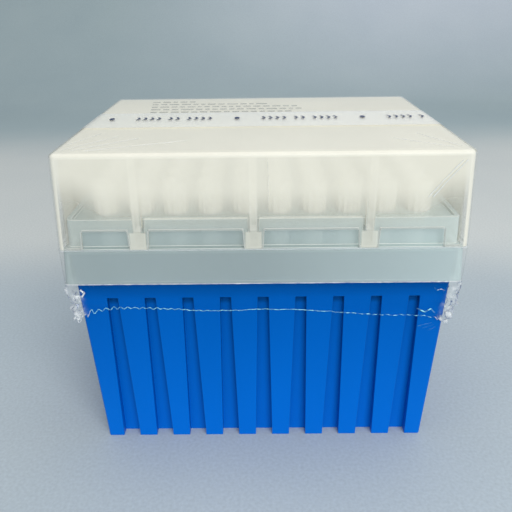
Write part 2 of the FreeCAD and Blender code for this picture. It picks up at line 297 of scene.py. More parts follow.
def moulded_skin():
    """The fine spark texture, slow flow marks and sparse scratches of a moulded plastic."""
    group, given, result = new_group(
        "Moulded Skin", {"Grain": 2600.0, "Flow": 38.0}, ("Height", "Mottle", "Scuff"))
    grain = scaled_noise(group, given["Grain"], detail=2.0)
    flow = scaled_noise(group, given["Flow"], roughness=0.45, stretch=(1, 1, 0.35))
    scratches = scaled_noise(group, 420.0, detail=4.0, roughness=0.7, stretch=(0.25, 0.25, 3.0))
    group.links.new(maths(group, "ADD", grain, flow), result["Height"])
    group.links.new(flow, result["Mottle"])
    group.links.new(ramp(group, scratches, 0.62, 0.78), result["Scuff"])
    return group


def stretched_film():
    """The pulls and fine wrinkles of a thin shrunk film."""
    group, given, result = new_group(
        "Stretched Film", {"Pulls": 60.0, "Wrinkles": 520.0}, ("Height", "Haze"))
    pulls = scaled_noise(group, given["Pulls"], detail=2.0, stretch=(1.0, 1.0, 0.4))
    wrinkles = scaled_noise(group, given["Wrinkles"], roughness=0.6, stretch=(0.6, 0.6, 1.0))
    group.links.new(maths(group, "MULTIPLY_ADD", wrinkles, 0.25, pulls), result["Height"])
    group.links.new(pulls, result["Haze"])
    return group


def wall_overlap():
    """1 where two walls of a drafted box meet, so that a ray runs along one of them."""
    group, given, result = new_group(
        "Wall Overlap",
        {"Half Length": 61.0 * MM, "Half Depth": 46.0 * MM, "Foot": 76.0 * MM, "Ceiling": 103.5 * MM,
         "Lean": 0.04, "Wall": 1.5 * MM},
        ("Overlap",))
    axes = object_axes(group)
    rise = maths(group, "SUBTRACT", axes[2], given["Foot"])
    lean = maths(group, "MULTIPLY_ADD", rise, given["Lean"], given["Wall"])
    count = passes(group, axes[2], given["Ceiling"])
    for axis, half in ((axes[0], "Half Length"), (axes[1], "Half Depth")):
        inside = maths(group, "SUBTRACT", given[half], lean)
        count = maths(group, "ADD", count, passes(group, maths(group, "ABSOLUTE", axis), inside))
    group.links.new(ramp(group, count, 1.1, 1.9), result["Overlap"])
    return group


GROUP_MAKERS = {"Moulded Skin": moulded_skin, "Stretched Film": stretched_film, "Wall Overlap": wall_overlap}


def place_group(tree, name, values=()):
    """Puts a shader group in a material's tree, making the group the first time, and gives its outputs."""
    group = bpy.data.node_groups.get(name) or GROUP_MAKERS[name]()
    return add_node(tree, "ShaderNodeGroup", values, node_tree=group).outputs


# ---- materials

# What plastic hides: where walls overlap or a stop stands, and at the foot of the lid's other walls.
THICK_COVER = 0.93
FAR_FOOT_COVER = 0.35

# The lid's front wall stands before this, and the other walls behind it.
FRONT = -42 * MM

# Half the width of a stop and of the notch under it, and the share of cover that each adds.
STOP_HALF, NOTCH_HALF = 1.1 * MM, 2.4 * MM
STOP_SHARE, NOTCH_SHARE = 0.4, 0.5


def shader_of(material):
    """A material's Principled shader."""
    return next(node for node in material.node_tree.nodes if node.type == "BSDF_PRINCIPLED")


def new_material(name, constants):
    """A Principled material with its constant values set on the shader's own sockets."""
    material = bpy.data.materials.new(name)
    material.use_nodes = True
    shader = shader_of(material)
    for key, value in constants.items():
        shader.inputs[key].default_value = value
    return material, material.node_tree, shader


def tinted(tree, colour, mottle, shade):
    """A colour that drifts towards a darker share of itself with the mottle."""
    return blend_colours(tree, mottle, [channel * shade for channel in colour], colour)


def add_relief(tree, shader, height, strength, distance):
    """Gives a shader the relief of a height that changes over the surface."""
    bump = add_node(tree, "ShaderNodeBump", {"Height": height, "Strength": strength, "Distance": distance})
    tree.links.new(bump.outputs[0], shader.inputs["Normal"])


def mottled_material(name, colour, shade, constants, flow=38.0):
    """A plain finish whose colour drifts a little, and its group's outputs."""
    material, tree, shader = new_material(name, constants)
    skin = place_group(tree, "Moulded Skin", {"Flow": flow})
    tree.links.new(tinted(tree, colour, skin["Mottle"], shade), shader.inputs["Base Color"])
    return material, skin


def moulding_material(name, colour, roughness, relief, shade, constants):
    """Moulded plastic: colour and roughness drift a little, and the skin has a fine grain."""
    material, skin = mottled_material(name, colour, shade, constants)
    tree, shader = material.node_tree, shader_of(material)
    tree.links.new(spread(tree, skin["Scuff"], *roughness), shader.inputs["Roughness"])
    add_relief(tree, shader, skin["Height"], relief, 0.05 * MM)
    return material


def recolour(material, change):
    """Changes a material's colour on its way to the shader."""
    tree, colour = material.node_tree, shader_of(material).inputs["Base Color"]
    tree.links.new(change(tree, colour.links[0].from_socket), colour)


def base_painted_shade(tree, plain):
    """Paints shade on the base: darker towards the skirt, a painted shadow close under it, and painted shade
    in the corners of its flutes.
    """
    slow_reach, close_reach, nook_reach = 55 * MM, 7 * MM, 7 * MM
    height = object_axes(tree)[2]
    # Painted shade: a slow darkening up to the skirt, the skirt's painted shadow, and an occlusion node's
    # darkening in the nooks.
    slow = ramp(tree, height, 0.0, slow_reach, low=1.0, high=0.66)
    close = ramp(tree, height, SKIRT - close_reach, SKIRT, low=1.0, high=0.5)
    openness = add_node(
        tree, "ShaderNodeAmbientOcclusion", {"Distance": nook_reach}, only_local=True, samples=8)
    nook = ramp(tree, openness.outputs["AO"], 0.3, 0.85, low=0.8, high=1.0)
    shades = maths(tree, "MULTIPLY", close, maths(tree, "MULTIPLY", nook, head_shade(tree)))
    return blend_colours(tree, maths(tree, "MULTIPLY", slow, shades), (0.0, 0.0, 0.0), plain)


def head_shade(tree):
    """A painted shadow at the head of each flute, under the lip above it."""
    axes = object_axes(tree)
    face = reach_base(FLUTE_HEAD)
    sunk = [
        maths(tree, "SUBTRACT", half - MM, maths(tree, "ABSOLUTE", axis))
        for half, axis in ((face.x, axes[0]), (face.y, axes[1]))]
    start, full = FLUTE_HEAD - 3.4 * MM, FLUTE_HEAD - 2.2 * MM
    near = ramp(tree, axes[2], start, full)
    head = maths(tree, "MULTIPLY", near, passes(tree, maths(tree, "MINIMUM", *sunk), 0.0))
    return spread(tree, head, low=1.0, high=0.62)


def rack_painted_light(tree, plain):
    """Paints light on the rack's plastic: lighter towards +X, a painted soft reflection of a lamp, and
    lighter over the ledge.
    """
    over_ledge, painted_light_end = 0.14, 55 * MM
    axes = object_axes(tree)
    along = ramp(tree, axes[0], 0.0, painted_light_end, low=0.82, high=1.1)
    level = maths(tree, "MULTIPLY_ADD", passes(tree, axes[2], LEDGE), over_ledge, along)
    return scaled(tree, plain, level)


def milky_material(name, colour, sizes, cover_maker, overlap_values):
    """Thin milky plastic: it hides a share of what is behind, and most of it where walls overlap."""
    material = moulding_material(
        name, colour, roughness=(0.34, 0.46), relief=0.12, shade=0.9,
        constants={"IOR": 1.49, "Specular IOR Level": 0.3})
    tree = material.node_tree
    overlap = place_group(tree, "Wall Overlap", overlap_values)["Overlap"]
    seen = spread(tree, overlap, slanted_cover(tree, cover_maker(tree)), THICK_COVER)
    behind = tree.nodes.new("ShaderNodeNewGeometry").outputs["Backfacing"]
    faced = blend(tree, behind, seen, sizes.far_cover)
    shadow = tree.nodes.new("ShaderNodeLightPath").outputs["Is Shadow Ray"]
    held = spread(tree, shadow, 1.0, sizes.shade)
    tree.links.new(maths(tree, "MULTIPLY", faced, held), shader_of(material).inputs["Alpha"])
    return material


def slanted_cover(tree, cover):
    """A wall hides more of what is behind it the longer the way through it, so the more it is seen aslant."""
    turned = add_node(tree, "ShaderNodeLayerWeight", {"Blend": 0.5}).outputs["Facing"]
    way = maths(tree, "DIVIDE", 1.0, maths(tree, "MAXIMUM", maths(tree, "SUBTRACT", 1.0, turned), 0.1))
    return maths(tree, "SUBTRACT", 1.0, maths(tree, "POWER", maths(tree, "SUBTRACT", 1.0, cover), way))


def lid_cover(tree, sizes):
    """The share that the lid's wall hides: its frost grows over a stretch above the deck's rim."""
    thin, full = RIM - 2.5 * MM, MOUTHS + 2 * MM
    end_starts, end_is_full, higher_at_end = 46 * MM, 54 * MM, 5 * MM
    axes = object_axes(tree)
    higher = ramp(tree, maths(tree, "ABSOLUTE", axes[0]), end_starts, end_is_full, high=higher_at_end)
    height = maths(tree, "SUBTRACT", axes[2], higher)
    front = passes(tree, FRONT, axes[1])
    foot = spread(tree, front, FAR_FOOT_COVER, sizes.foot_cover)
    plain = ramp(tree, height, thin, full, foot, sizes.lid_cover, interpolation_type="SMOOTHSTEP")
    return blend(tree, maths(tree, "MULTIPLY", stop_cover(tree, axes), front), plain, THICK_COVER)


def stop_cover(tree, axes):
    """How much a stop, or the notch under it, adds to what the wall in front of it hides."""
    away = maths(tree, "PINGPONG", maths(tree, "SUBTRACT", axes[0], STOPS[1]), STOP_PITCH / 2)
    stop = maths(tree, "MULTIPLY", passes(tree, STOP_HALF, away), STOP_SHARE)
    notch = maths(tree, "MULTIPLY", passes(tree, NOTCH_HALF, away), NOTCH_SHARE)
    return blend(tree, passes(tree, axes[2], STOP_FOOT), notch, stop)


def edge_material(name, colour):
    """Milky plastic where it is thick or rounded: a weak emission paints a glow on it, and it hides most of
    what is behind it.
    """
    painted_glow = {"Emission Color": (0.85, 0.95, 0.93, 1.0), "Emission Strength": 0.12}
    return mottled_material(name, colour, 0.95, {"Roughness": 0.3, "Alpha": 0.9, **painted_glow})[0]


def film_material():
    """Clear film: nothing shows of it but its folds, the painted glints of its ridges, and its gloss with a
    painted sheen where it is seen edge on.
    """
    material, tree, shader = new_material("Clear Film", {"Roughness": 0.14, "Specular IOR Level": 0.6})
    skin = place_group(tree, "Stretched Film")
    fold_and_glint = add_node(tree, "ShaderNodeAttribute", attribute_name="fold_and_glint").outputs["Fac"]
    painted_sheen = add_node(tree, "ShaderNodeFresnel", {"IOR": 1.05}).outputs[0]
    seen = add_node(tree, "ShaderNodeMath", {0: fold_and_glint, 1: painted_sheen}, operation="ADD", use_clamp=True)
    tree.links.new(seen.outputs[0], shader.inputs["Alpha"])
    # The painted sheen and glints are cyan over the base and white elsewhere.
    cool, clear = (0.40, 0.92, 1.0), (0.96, 0.98, 0.97)
    bunch_width = 3.5 * MM
    axes = object_axes(tree)
    off_base = maths(
        tree, "MAXIMUM", passes(tree, axes[2], SKIRT - MM),
        passes(tree, maths(tree, "ABSOLUTE", axes[0]), BASE_HEAD.x - bunch_width))
    over_base, elsewhere = (tinted(tree, colour, skin["Haze"], 0.92) for colour in (cool, clear))
    tree.links.new(blend_colours(tree, off_base, over_base, elsewhere), shader.inputs["Base Color"])
    add_relief(tree, shader, skin["Height"], 0.6, 0.12 * MM)
    return material


def tape_material():
    """Thin white tape with a soft gloss, which holds back little light."""
    material, tree, shader = new_material("White Tape", {"Roughness": 0.25, "Coat Weight": 0.4})
    shadow = tree.nodes.new("ShaderNodeLightPath").outputs["Is Shadow Ray"]
    tree.links.new(spread(tree, shadow, 0.6, 0.1), shader.inputs["Alpha"])
    skin = place_group(tree, "Stretched Film")
    tree.links.new(tinted(tree, (1.0, 1.0, 0.96), skin["Haze"], 0.96), shader.inputs["Base Color"])
    add_relief(tree, shader, skin["Height"], 0.2, 0.1 * MM)
    return material


def paper_material(stage):
    """Pale paper with soft clouds and a fine grain."""
    material, tree, shader = new_material("Pale Paper", {"Roughness": 0.9, "Specular IOR Level": 0.2})
    cloudy = blend_colours(
        tree, scaled_noise(tree, 9.0), paper_tone(tree, stage), (0.84, 0.87, 0.9), blend_type="MULTIPLY")
    grain = scaled_noise(tree, 900.0)
    tree.links.new(scaled(tree, cloudy, spread(tree, grain, 0.84, 1.16)), shader.inputs["Base Color"])
    add_relief(tree, shader, grain, 0.15, 0.2 * MM)
    return material


def paper_tone(tree, stage):
    """The paper's colour: grey, with a painted pool of light behind the box and painted light on the far
    right.
    """
    axes = object_axes(tree)
    along = maths(tree, "ADD", axes[1], axes[2])
    tones = add_node(tree, "ShaderNodeValToRGB", {0: along})
    tones.color_ramp.interpolation = "EASE"
    stops = tones.color_ramp.elements
    for distance, colour in (
        (0.05, stage.floor_colour), (0.15, stage.painted_pool_colour), (0.32, stage.painted_pool_colour),
        (0.5, stage.back_colour), (0.9, stage.back_colour),
    ):
        stops.new(distance).color = (*colour, 1.0)
    stops.remove(stops[0])
    stops.remove(stops[-1])
    # Painted light: the far right of the paper made paler.
    painted_far_right_light = maths(tree, "MULTIPLY", ramp(tree, axes[0], -0.25, 0.2), ramp(tree, along, 0.6, 1.05))
    return blend_colours(tree, painted_far_right_light, tones.outputs[0], (0.72, 0.76, 0.8))


SHARP_ANGLE = math.radians(28)


def link_object(name, materials, fill, *given):
    """Makes an object from a function that fills a bmesh with what it is given."""
    bm = bmesh.new()
    fill(bm, *given)
    mesh = bpy.data.meshes.new(name)
    bm.to_mesh(mesh)
    bm.free()
    for material in materials:
        mesh.materials.append(material)
    made = bpy.data.objects.new(name, mesh)
    bpy.context.scene.collection.objects.link(made)
    return made


def add_piece(name, materials, slot, replaces, fill, *given):
    """Makes a piece and hangs it in the frame."""
    piece = link_object(name, materials, fill, *given)
    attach(piece, BODY)
    if replaces:
        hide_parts(*replaces)
    return piece


def smooth_faces(bm, sharp=None):
    """Makes all faces smooth, and keeps the edges that are sharper than an angle."""
    for face in bm.faces:
        face.smooth = True
    for edge in bm.edges if sharp else ():
        edge.smooth = len(edge.link_faces) == 2 and edge.calc_face_angle(0.0) < sharp


def fill_moulding(bm, node):
    """Copies a node's solid with its flat faces whole."""
    bm.from_mesh(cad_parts[node].data)
    bmesh.ops.remove_doubles(bm, verts=bm.verts, dist=0.002 * MM)
    bmesh.ops.dissolve_limit(
        bm, angle_limit=math.radians(0.6), use_dissolve_boundaries=False,
        verts=bm.verts, edges=bm.edges)
    if node == "rack":
        trim_rack(bm)
    smooth_faces(bm, SHARP_ANGLE)


def trim_rack(bm):
    """Moves the ends of the rack's rise out towards the lid's end walls, and the skirt's foot up a little."""
    outwards, wall_zone = 1.2 * MM, 4 * MM
    end = reach("rack", LEDGE + MM).x + 0.5 * MM
    for vertex in bm.verts:
        if vertex.co.z > LEDGE - TINY and end - wall_zone < abs(vertex.co.x) < end:
            vertex.co.x += math.copysign(outwards, vertex.co.x)
        if vertex.co.z < SKIRT:
            vertex.co.z += SKIRT_LIFT


def soften_edges(piece, width, edge_slot):
    """Rounds a moulding's sharp edges, and gives the rounds one of its materials."""
    bevel = piece.modifiers.new("edges", "BEVEL")
    bevel.width = width
    bevel.segments = 2
    bevel.limit_method = "ANGLE"
    bevel.angle_limit = SHARP_ANGLE
    bevel.harden_normals = True
    bevel.use_clamp_overlap = True
    bevel.material = edge_slot


def loop_faces(bm, rings, closed=True):
    """Joins rings of vertices by quads."""
    for lower, upper in zip(rings, rings[1:]):
        count = len(lower)
        for i in range(count if closed else count - 1):
            j = (i + 1) % count
            bm.faces.new((lower[i], lower[j], upper[j], upper[i]))


# ---- tips

TIP_SIDES = 36


def tip_outline(sizes):
    """(radius, height) pairs from the bore's foot, over the mouth, down to the point, and whether ribbed."""
    top, seat = MOUTHS, MOUTHS - sizes.collar
    outer, body = sizes.point / 2, sizes.body / 2
    waist, waist_height = body * 0.72, POINTS + 0.36 * (MOUTHS - POINTS)
    collar = body + 0.55 * MM
    between_ribs = collar - 0.35 * MM
    return [
        (outer - 0.3 * MM, POINTS, False),
        (waist - sizes.wall, waist_height, False),
        (body - sizes.wall, seat, False),
        (body - 0.05 * MM, top - 0.5 * MM, False),
        (body + 0.25 * MM, top, False),
        (collar - 0.1 * MM, top, False),
        (collar, top - 0.35 * MM, False),
        (collar, top - 2.6 * MM, False),
        (between_ribs, top - 3.0 * MM, True),
        (between_ribs, seat + 0.4 * MM, True),
        (collar - 0.1 * MM, seat, False),
        (body, seat, False),
        (waist, waist_height, False),
        (outer, POINTS, False),
    ]


def fill_tips(bm, centres, sizes):
    """Round tips that stand at these centres."""
    outline = tip_outline(sizes)
    per_rib = TIP_SIDES // sizes.ribs
    rib = 0.4 * MM
    for centre in centres:
        rings = []
        for radius, height, ribbed in outline:
            ring = []
            for side in range(TIP_SIDES):
                turn = math.tau * side / TIP_SIDES
                reached = radius + (rib if ribbed and side % per_rib == 0 else 0.0)
                ring.append(bm.verts.new((
                    centre.x + reached * math.cos(turn), centre.y + reached * math.sin(turn), height)))
            rings.append(ring)
        loop_faces(bm, rings + rings[:1])
    bmesh.ops.recalc_face_normals(bm, faces=bm.faces)
    smooth_faces(bm, math.radians(35))


def column_centres(node, pitch):
    """Where the tips of one column stand."""
    low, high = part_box(node)
    width = high.x - low.x
    span = high.y - low.y - width
    count = round(span / pitch) + 1
    middle = (low + high) / 2
    return [Vector((middle.x, middle.y - span / 2 + span * row / (count - 1))) for row in range(count)]


# ---- film

def rectangle_walk(long_count=130, short_count=100, corner_count=22):
    """Steps round a rectangle with round corners: (side or corner number, share of it, is a corner)."""
    steps = []
    for quarter in range(4):
        count = long_count if quarter % 2 == 0 else short_count
        for i in range(count):
            steps.append((quarter, 0.5 - 0.5 * math.cos(math.pi * (i + 0.5) / count), False))
        for i in range(corner_count):
            steps.append((quarter, (i + 0.5) / corner_count, True))
    return steps


def walk_place(step, half, radius):
    """The place of a step on a rectangle of that half-size, and the direction outwards."""
    quarter, share, is_corner = step
    spin = Matrix.Rotation(quarter * math.pi / 2, 2)
    length, depth = (half.x, half.y) if quarter % 2 == 0 else (half.y, half.x)
    if is_corner:
        angle = (share - 1) * math.pi / 2
        out = Vector((math.cos(angle), math.sin(angle)))
        return spin @ (Vector((length - radius, radius - depth)) + radius * out), spin @ out
    return spin @ Vector(((2 * share - 1) * (length - radius), -depth)), spin @ Vector((0, -1))


def cornerness(place, half, width):
    """1 at a corner, fading to 0 at that distance from it along a side."""
    away = max(half.x - abs(place.x), half.y - abs(place.y)) / width
    near = max(0.0, 1.0 - away)
    return near ** 2 * (3 - 2 * near)


def film_levels(film):
    """(height, half-size, corner radius) of the film from the lid's top edge to the skirt's foot."""
    edge_parts, wall_parts, skirt_parts = 5, 18, 8
    gap = Vector((film.gap, film.gap))
    round_edge = TOP_EDGE + film.gap
    corner = CORNER + film.gap
    stages = []
    at_edge = reach("lid", LID_TOP - round_edge) + gap
    for i in range(edge_parts + 1):
        angle = math.pi / 2 * i / edge_parts
        inwards = round_edge * (1 - math.sin(angle))
        stages.append((
            LID_TOP + film.gap - round_edge * (1 - math.cos(angle)),
            at_edge - Vector((1, 1)) * inwards,
            corner - 0.6 * inwards))
    for i in range(1, wall_parts + 1):
        level = LID_TOP - round_edge + (LEDGE + TINY - LID_TOP + round_edge) * i / wall_parts
        stages.append((level, reach("lid", level) + gap, corner))
    foot = reach("rack", SKIRT + TINY) + gap
    for i in range(1, skirt_parts + 1):
        share = i / skirt_parts
        stages.append((LEDGE + (SKIRT - LEDGE) * share, at_ledge(film.gap).lerp(foot, share), corner))
    return stages


def at_ledge(gap):
    """The film's half-size where it turns over the ledge."""
    return reach("lid", LEDGE + TINY) + Vector((gap, gap))


def film_hem(place, corner, film):
    """The hem's height: a slow wave, lower at the corners and to the right."""
    long_turn = place.x / (31 * MM) + 1.1 + place.y / (20 * MM)
    wave = 0.5 * math.sin(place.x / (9 * MM)) + 0.6 * math.sin(long_turn)
    tilt = -3.7 * max(0.0, place.x / (60 * MM)) ** 0.75
    flutter = 0.35 * noise.noise(Vector((place.x, place.y, 0)) * 900)
    sag = -2.4 * corner ** 3
    return film.hem + (wave + tilt + flutter + sag) * MM


def drawn_in(share):
    """How far the film has come from the skirt to the base at a share of its fall."""
    return 1 - (1 - share) ** 1.6


def add_ring(bm, fold_and_glint, points, folds):
    """A ring of vertices, each with how much the film shows there: its folds, and along a ridge its painted
    glint.
    """
    ring = []
    for co, amount in zip(points, folds):
        vertex = bm.verts.new(co)
        vertex[fold_and_glint] = amount
        ring.append(vertex)
    return ring


def top_rings(steps, level):
    """Rings of the film's top, from its middle outwards, with a slow wave."""
    height, half, radius = level
    for share in (0.02, 0.12, 0.25, 0.4, 0.55, 0.7, 0.82, 0.92, 0.97):
        places = [walk_place(step, half, radius)[0] * share for step in steps]
        yield [
            (*place, height + 0.08 * MM * noise.noise(Vector((*place, 0)) * 70)) for place in places
        ], [0.0] * len(steps)


def wall_rings(steps, levels):
    """Rings of the film round the lid and the skirt, with a slow ripple."""
    corner_width, corner_fold = 14 * MM, 0.05
    for height, half, radius in levels:
        points, folds = [], []
        for step in steps:
            place, out = walk_place(step, half, radius)
            ripple = noise.noise(Vector((place.x * 90, place.y * 90, height * 60)))
            proud = (0.05 + 0.12 * ripple) * MM
            points.append((*(place + out * proud), height))
            folds.append(corner_fold * cornerness(place, half, corner_width))
        yield points, folds


def bunched_rings(steps, level, film, fall=20):
    """Rings of the film from the skirt's foot to the hem: drawn in along the sides, bunched at corners."""
    bunch_width, fold_width = 13 * MM, 5 * MM
    skirt_height, half, radius = level
    for i in range(1, fall + 1):
        share = i / fall
        points, folds = [], []
        for step in steps:
            place, out = walk_place(step, half, radius)
            corner = cornerness(place, half, bunch_width)
            height = skirt_height + (film_hem(place, corner, film) - skirt_height) * share
            inner, _ = walk_place(step, reach_base(height) + Vector((film.gap, film.gap)), radius)
            drawn = drawn_in(share) * (1 - corner) + corner * 0.5 * share
            spot = Vector((place.x, place.y, height))
            rough = noise.fractal(spot * 330, 0.6, 2.1, 4)
            sharp = noise.turbulence(spot * 520, 3, True)
            swell = corner * share ** 0.5 * film.crumple * (rough * 1.4 + sharp * 0.5)
            ripple = 0.15 * MM * noise.noise(spot * 260) * (1 - corner)
            where = place.lerp(inner, drawn) + out * (swell + abs(ripple))
            lift = corner * share * 0.9 * MM * noise.noise(spot * 610)
            points.append((*where, height + lift))
            crumpled = 0.05 + 3.0 * rough * rough + 0.3 * sharp
            folds.append(min(1.0, crumpled * cornerness(place, half, fold_width) * share ** 0.4))
        yield points, folds


def fill_film(bm, film):
    """The film: top, walls, and the part below the skirt that is drawn in to the base."""
    steps = rectangle_walk()
    levels = film_levels(film)
    _, skirt_half, skirt_radius = levels[-1]
    fold_and_glint = bm.verts.layers.float.new("fold_and_glint")
    stages = [
        *top_rings(steps, levels[0]), *wall_rings(steps, levels), *bunched_rings(steps, levels[-1], film)]
    rings = [add_ring(bm, fold_and_glint, points, folds) for points, folds in stages]
    loop_faces(bm, rings)
    bm.faces.new(rings[0])
    # Painted highlights: bright ridges where the film turns over the skirt's foot and over the ledge.
    for height, half, painted_shine in ((SKIRT, skirt_half, 0.6), (LEDGE, at_ledge(film.gap), 0.3)):
        turn = [Vector((*walk_place(step, half, skirt_radius)[0], height)) for step in steps]
        add_ridge(bm, fold_and_glint, turn, film.bead, painted_shine, 0.8, closed=True)
    add_hem(bm, fold_and_glint, stages[-1][0], film)
    add_creases(bm, fold_and_glint, film)
    bmesh.ops.recalc_face_normals(bm, faces=bm.faces)
    smooth_faces(bm)


def dashes(place):
    """How much of the hem's painted glint is left at a place: it breaks up into dashes towards the right."""
    start, growth, pitch = 18 * MM, 12 * MM, 2.2 * MM
    broken = min(1.0, max(0.0, (place.x - start) / growth)) * (place.y < 0)
    return 1 - broken * (0.5 - 0.9 * math.sin(math.tau * place.x / pitch))


def unbroken(place):
    """All of the painted glint, at any place."""
    return 1.0


def add_ridge(bm, fold_and_glint, centres, radius, painted_shine, even, closed=False, left=unbroken):
    """A rolled edge or a crease: an uneven tube through these points, whose white shows in places as a
    painted glint.
    """
    sides = 6
    rings = []
    last = len(centres) - 1
    for i, centre in enumerate(centres):
        ahead = (
            centres[(i + 1) % len(centres)] - centres[i - 1] if closed
            else centres[min(i + 1, last)] - centres[max(i - 1, 0)])
        side = ahead.cross(Vector((0, 0, 1))).normalized()
        up = side.cross(ahead).normalized()
        thick = radius * (1.0 + 0.7 * noise.noise(centre * 1500))
        # The glint is painted: noise decides where the ridge shows white.
        glint = max(0.0, noise.noise(centre * 1250 + Vector((5, 0, 0)))) ** 0.5
        seen = min(1.0, max(0.0, painted_shine * left(centre) * (even + (1 - even) * 1.7 * glint)))
        angles = [math.tau * turn / sides for turn in range(sides)]
        points = [centre + thick * (side * math.cos(angle) + up * math.sin(angle)) for angle in angles]
        rings.append(add_ring(bm, fold_and_glint, points, [seen] * sides))
    loop_faces(bm, rings + rings[:1] if closed else rings)


def add_hem(bm, fold_and_glint, hem, film):
    """The film's melted hem, which zigzags towards the left."""
    parts, zigzag_pitch = 4, 2.3 * MM
    fine = []
    for start, end in zip(hem, hem[1:] + hem[:1]):
        for part in range(parts):
            spot = Vector(start).lerp(Vector(end), part / parts)
            near_end = min(1.0, abs(spot.x) / (55 * MM)) ** 3
            zigzag = max(0.0, -spot.x / (50 * MM)) ** 2 * math.sin(math.tau * spot.x / zigzag_pitch)
            spot.z += (0.08 + 0.5 * near_end) * MM * noise.noise(spot * 900) + 0.4 * MM * zigzag
            fine.append(spot)
    add_ridge(bm, fold_and_glint, fine, film.bead, 0.8, 0.3, closed=True, left=dashes)


# Creases in millimetres: points as (x, z) on the front or (x, y) on the top, radius, painted shine, and how
# even.
FRONT_CREASES = (
    (((57.4, 102.4), (53.0, 97.2), (48.4, 91.2)), 0.12, 0.6, 0.7),
    (((56.1, 102.4), (51.7, 97.2), (47.1, 91.2)), 0.12, 0.6, 0.7),
    (((1.5, 103.4), (1.7, 95.0), (1.4, 86.5)), 0.07, 0.16, 0.8),
)
TOP_CREASES = tuple((points, 0.08, 0.25, 0.5) for points in (
    ((-57.0, -42.0), (-43.0, -24.0)), ((-54.0, -42.5), (-36.0, -27.0)), ((-50.0, -43.0), (-20.0, -31.0)),
    ((-57.0, -36.0), (-50.0, -20.0)), ((56.5, -41.5), (47.0, -24.0)), ((54.0, -42.5), (38.0, -30.0)),
))
CURLS = (
    (((-57.4, 61.4), (-56.3, 60.2), (-57.3, 58.8)), 0.36, 1.6, 0.1),
    (((53.6, 61.2), (54.6, 60.2), (55.8, 60.6), (57.0, 60.0)), 0.12, 0.6, 0.1),
    (((50.0, 46.8), (54.8, 48.2)), 0.1, 0.06, 0.1),
    (((51.6, 45.9), (55.4, 47.3)), 0.1, 0.06, 0.1),
    (((53.2, 45.0), (56.0, 46.4)), 0.1, 0.06, 0.1),
    (((49.0, 53.6), (51.6, 52.2), (53.4, 53.4), (55.0, 51.8)), 0.2, 1.2, 0.1),
)


def add_creases(bm, fold_and_glint, film):
    """The creases of the front wall and of the top, and the loose curls at the corners."""
    def on_front(x, z):
        """A place just proud of the film's front."""
        level = z * MM
        half = reach("lid", level) if level > LEDGE else reach_base(level)
        return Vector((x * MM, -half.y - film.gap - 0.1 * MM, level))

    def on_top(x, y):
        """A place just proud of the film's top."""
        return Vector((x * MM, y * MM, LID_TOP + film.gap + 0.12 * MM))

    parts = 12
    for place, creases in ((on_front, FRONT_CREASES), (on_top, TOP_CREASES), (on_front, CURLS)):
        for points, radius, painted_shine, even in creases:
            path = []
            for (x0, z0), (x1, z1) in zip(points, points[1:]):
                for part in range(parts):
                    share = part / parts
                    spot = place(x0 + (x1 - x0) * share, z0 + (z1 - z0) * share)
                    spot.x += 0.15 * MM * noise.noise(spot * 400)
                    path.append(spot)
            add_ridge(bm, fold_and_glint, path, radius * MM, painted_shine, even)


# ---- tape

def tape_path(film, proud):
    """(x, z) points of the tape from the hem at one end, over the top, to the hem at the other."""
    levels = film_levels(film)
    falls, crossings = 8, 40
    right = [(half.x + proud, height) for height, half, _ in levels]
    for i in range(1, falls + 1):
        share = i / falls
        height = SKIRT + (film.hem + 0.5 * MM - SKIRT) * share
        start, end = levels[-1][1].x, reach_base(height).x + film.gap
        right.append((start + (end - start) * drawn_in(share) + proud, height))
    top_x, top_z = right[0]
    right[0] = (top_x, top_z + proud)
    left = [(-x, z) for x, z in reversed(right)]
    across = [(top_x * (2 * i / crossings - 1), top_z + proud) for i in range(1, crossings)]
    return left + across + right


def fill_tape(bm, film):
    """The tear tape, a band that lies on the film."""
    columns = 12
    rings = []
    for x, z in tape_path(film, 0.22 * MM):
        ring = []
        for i in range(columns + 1):
            y = TAPE_MIDDLE + film.tape_width * (i / columns - 0.5)
            lift = 0.05 * MM * noise.noise(Vector((x, y, z)) * 130)
            sideways = math.copysign(lift, x) * (z < LID_TOP)
            ring.append(bm.verts.new((x + sideways, y, z + lift * (z > LID_TOP))))
        rings.append(ring)
    loop_faces(bm, rings, closed=False)
    bmesh.ops.recalc_face_normals(bm, faces=bm.faces)
    smooth_faces(bm)


def chevron(x, y, width, depth):
    """A bent bar that points along the tape."""
    half, bar = depth / 2, width * 0.45
    return [
        (x, y - half), (x + bar, y - half), (x + width, y), (x + bar, y + half), (x, y + half),
        (x + width - bar, y)]


def print_marks(middle):
    """Outlines of the marks printed on the tape: groups of chevrons with a dot between."""
    period, dot_room, first_dot, print_end = 43.7 * MM, 8.4 * MM, -8.4 * MM, 58.3 * MM
    pitch, gap, width, depth = 2.4 * MM, 1.7 * MM, 1.7 * MM, 4.4 * MM
    dot_width, dot_depth, dot_sides = 0.9 * MM, 1.8 * MM, 20
    marks = []
    for turn in range(-1, 2):
        dot = first_dot + turn * period
        angles = [math.tau * i / dot_sides for i in range(dot_sides)]
        marks.append([
            (dot + dot_width * math.cos(angle), middle + dot_depth * math.sin(angle)) for angle in angles])
        for i in range(10):
            x = dot + dot_room + i * pitch + gap * ((i > 3) + (i > 5))
            marks.append(chevron(x, middle, width, depth))
    return [outline for outline in marks if max(abs(x) for x, _ in outline) < print_end]


def fill_print(bm, film):
    """The ink, thin islands just over the tape."""
    level = film_levels(film)[0][0] + 0.52 * MM
    for outline in print_marks(TAPE_MIDDLE + 0.8 * MM):
        bm.faces.new([bm.verts.new((x, y, level)) for x, y in outline])
    bmesh.ops.triangulate(bm, faces=bm.faces)
    bmesh.ops.recalc_face_normals(bm, faces=bm.faces)


